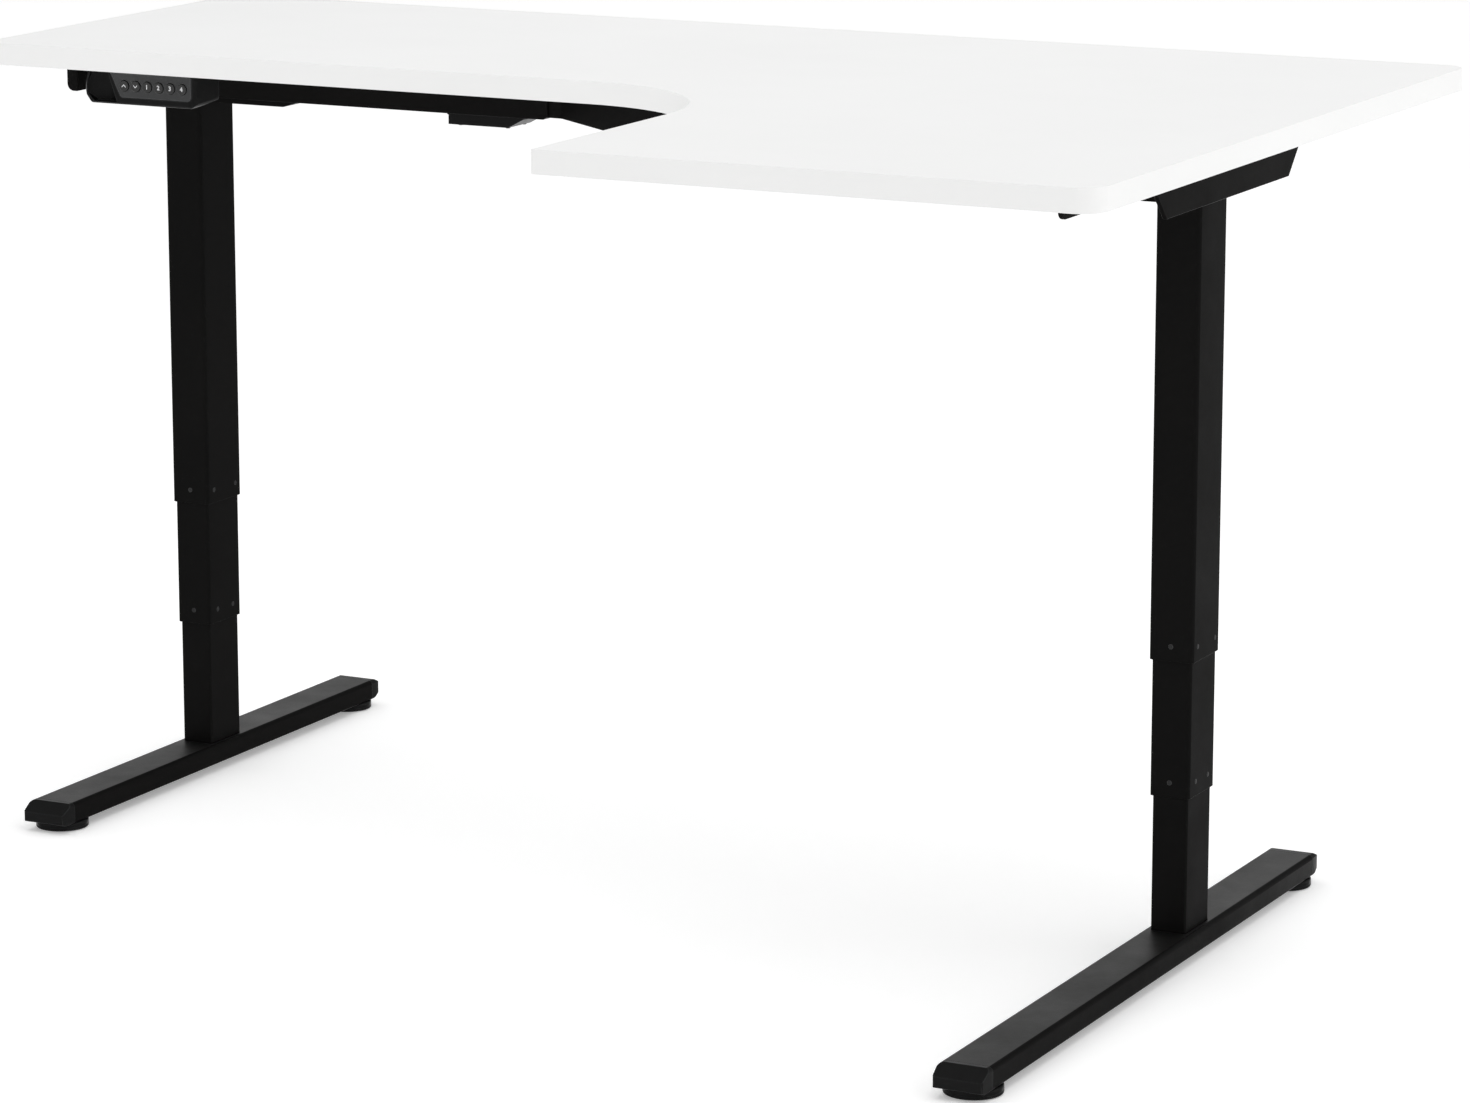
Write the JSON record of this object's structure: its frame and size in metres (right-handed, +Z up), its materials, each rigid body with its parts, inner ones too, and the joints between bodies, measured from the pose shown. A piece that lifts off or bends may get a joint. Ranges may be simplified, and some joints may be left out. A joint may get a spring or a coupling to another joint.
{
  "type": "height adjustable standing desk",
  "caption": "L-shaped sit-stand desk: white top on two black motorised three-stage columns with T feet, cranked cross rails and a push-button handset.",
  "frame": {"origin": "on the floor, at the middle of the bounding box of the whole desk", "axes": "+Z up, +X along the desk to the right of the person who sits at it, +Y towards its back edge"},
  "size_m": [1.6, 1.1664, 0.903],
  "materials": {
    "white_laminate": "white melamine laminate on particle board, satin",
    "black_frame": "fine-textured black powder coat, satin",
    "black_plastic": "moulded black plastic, semi-matt",
    "nylon": "dark nylon",
    "grey_faceplate": "dark grey satin plastic",
    "button": "smooth black plastic with white legends",
    "steel": "zinc plated steel",
    "circuit_board": "green circuit board"
  },
  "bodies": {
    "left_base": {"left_foot_rail": "black_frame", "left_foot_cap_front": "black_plastic", "left_foot_cap_rear": "black_plastic", "left_foot_plate": "steel", "left_inner_tube": "black_frame", "left_lower_nut": "nylon"},
    "left_middle": {"left_middle_tube": "black_frame", "left_middle_glide": "nylon", "left_upper_nut": "nylon"},
    "left_front_foot": {"left_leveller_front": "black_plastic"},
    "left_rear_foot": {"left_leveller_rear": "black_plastic"},
    "left_upper_screw": {"left_upper_spindle": "steel"},
    "left_lower_screw": {"left_lower_spindle": "steel"},
    "right_base": {"right_foot_rail": "black_frame", "right_foot_cap_front": "black_plastic", "right_foot_cap_rear": "black_plastic", "right_foot_plate": "steel", "right_inner_tube": "black_frame", "right_lower_nut": "nylon"},
    "right_middle": {"right_middle_tube": "black_frame", "right_middle_glide": "nylon", "right_upper_nut": "nylon"},
    "right_front_foot": {"right_leveller_front": "black_plastic"},
    "right_rear_foot": {"right_leveller_rear": "black_plastic"},
    "right_upper_screw": {"right_upper_spindle": "steel"},
    "right_lower_screw": {"right_lower_spindle": "steel"},
    "desk": {"left_outer_tube": "black_frame", "left_outer_glide": "nylon", "left_side_bracket": "black_frame", "left_support_arm": "black_frame", "left_motor_housing": "black_frame", "left_motor": "steel", "left_gearbox": "black_plastic", "right_outer_tube": "black_frame", "right_outer_glide": "nylon", "right_side_bracket": "black_frame", "right_support_arm": "black_frame", "right_motor_housing": "black_frame", "right_motor": "steel", "right_gearbox": "black_plastic", "front_rail_outer": "black_frame", "front_rail_inner": "black_frame", "rear_rail_outer": "black_frame", "rear_rail_inner": "black_frame", "control_box": "black_plastic", "control_box_lid": "black_plastic", "control_board": "circuit_board", "mains_inlet": "black_plastic", "handset_housing": "black_plastic", "handset_faceplate": "grey_faceplate", "handset_board": "circuit_board", "desktop": "white_laminate"},
    "key_1": {"button_1": "button"},
    "key_2": {"button_2": "button"},
    "key_3": {"button_3": "button"},
    "key_4": {"button_4": "button"},
    "key_5": {"button_5": "button"},
    "key_6": {"button_6": "button"}
  },
  "joints": [
    {"name": "lift", "type": "slide", "parent": "left_base", "child": "left_middle", "axis": [0, 0, 1], "range_m": [-0.144, 0.181]},
    {"name": "left_upper_stage", "type": "slide", "parent": "left_middle", "child": "desk", "axis": [0, 0, 1], "range_m": [-0.144, 0.181]},
    {"name": "right_upper_stage", "type": "slide", "parent": "desk", "child": "right_middle", "axis": [0, 0, -1], "range_m": [-0.144, 0.181]},
    {"name": "right_lower_stage", "type": "slide", "parent": "right_middle", "child": "right_base", "axis": [0, 0, -1], "range_m": [-0.144, 0.181]},
    {"name": "left_upper_screw_turn", "type": "hinge", "parent": "desk", "child": "left_upper_screw", "pos_m": [-0.681, 0.22925, 0.5], "axis": [0, 0, 1], "range_deg": [-5200, 6530]},
    {"name": "left_lower_screw_turn", "type": "hinge", "parent": "left_middle", "child": "left_lower_screw", "pos_m": [-0.681, 0.22925, 0.5], "axis": [0, 0, 1], "range_deg": [-5200, 6530]},
    {"name": "left_front_levelling", "type": "slide", "parent": "left_base", "child": "left_front_foot", "axis": [0, 0, -1], "range_m": [0, 0.01]},
    {"name": "left_rear_levelling", "type": "slide", "parent": "left_base", "child": "left_rear_foot", "axis": [0, 0, -1], "range_m": [0, 0.01]},
    {"name": "right_upper_screw_turn", "type": "hinge", "parent": "desk", "child": "right_upper_screw", "pos_m": [0.681, -0.00975, 0.5], "axis": [0, 0, 1], "range_deg": [-5200, 6530]},
    {"name": "right_lower_screw_turn", "type": "hinge", "parent": "right_middle", "child": "right_lower_screw", "pos_m": [0.681, -0.00975, 0.5], "axis": [0, 0, 1], "range_deg": [-5200, 6530]},
    {"name": "right_front_levelling", "type": "slide", "parent": "right_base", "child": "right_front_foot", "axis": [0, 0, -1], "range_m": [0, 0.01]},
    {"name": "right_rear_levelling", "type": "slide", "parent": "right_base", "child": "right_rear_foot", "axis": [0, 0, -1], "range_m": [0, 0.01]},
    {"name": "press_1", "type": "slide", "parent": "desk", "child": "key_1", "axis": [0, 1, 0], "range_m": [0, 0.0011], "stiffness_N_per_m": 400, "springref_m": -0.001},
    {"name": "press_2", "type": "slide", "parent": "desk", "child": "key_2", "axis": [0, 1, 0], "range_m": [0, 0.0011], "stiffness_N_per_m": 400, "springref_m": -0.001},
    {"name": "press_3", "type": "slide", "parent": "desk", "child": "key_3", "axis": [0, 1, 0], "range_m": [0, 0.0011], "stiffness_N_per_m": 400, "springref_m": -0.001},
    {"name": "press_4", "type": "slide", "parent": "desk", "child": "key_4", "axis": [0, 1, 0], "range_m": [0, 0.0011], "stiffness_N_per_m": 400, "springref_m": -0.001},
    {"name": "press_5", "type": "slide", "parent": "desk", "child": "key_5", "axis": [0, 1, 0], "range_m": [0, 0.0011], "stiffness_N_per_m": 400, "springref_m": -0.001},
    {"name": "press_6", "type": "slide", "parent": "desk", "child": "key_6", "axis": [0, 1, 0], "range_m": [0, 0.0011], "stiffness_N_per_m": 400, "springref_m": -0.001}
  ],
  "couplings": [
    {"joint": "left_upper_stage", "follows": "lift", "ratio": 1},
    {"joint": "right_upper_stage", "follows": "lift", "ratio": 1},
    {"joint": "right_lower_stage", "follows": "lift", "ratio": 1},
    {"joint": "left_upper_screw_turn", "follows": "lift", "rad_per_m": 628.32},
    {"joint": "left_lower_screw_turn", "follows": "lift", "rad_per_m": 628.32},
    {"joint": "right_upper_screw_turn", "follows": "lift", "rad_per_m": 628.32},
    {"joint": "right_lower_screw_turn", "follows": "lift", "rad_per_m": 628.32}
  ]
}
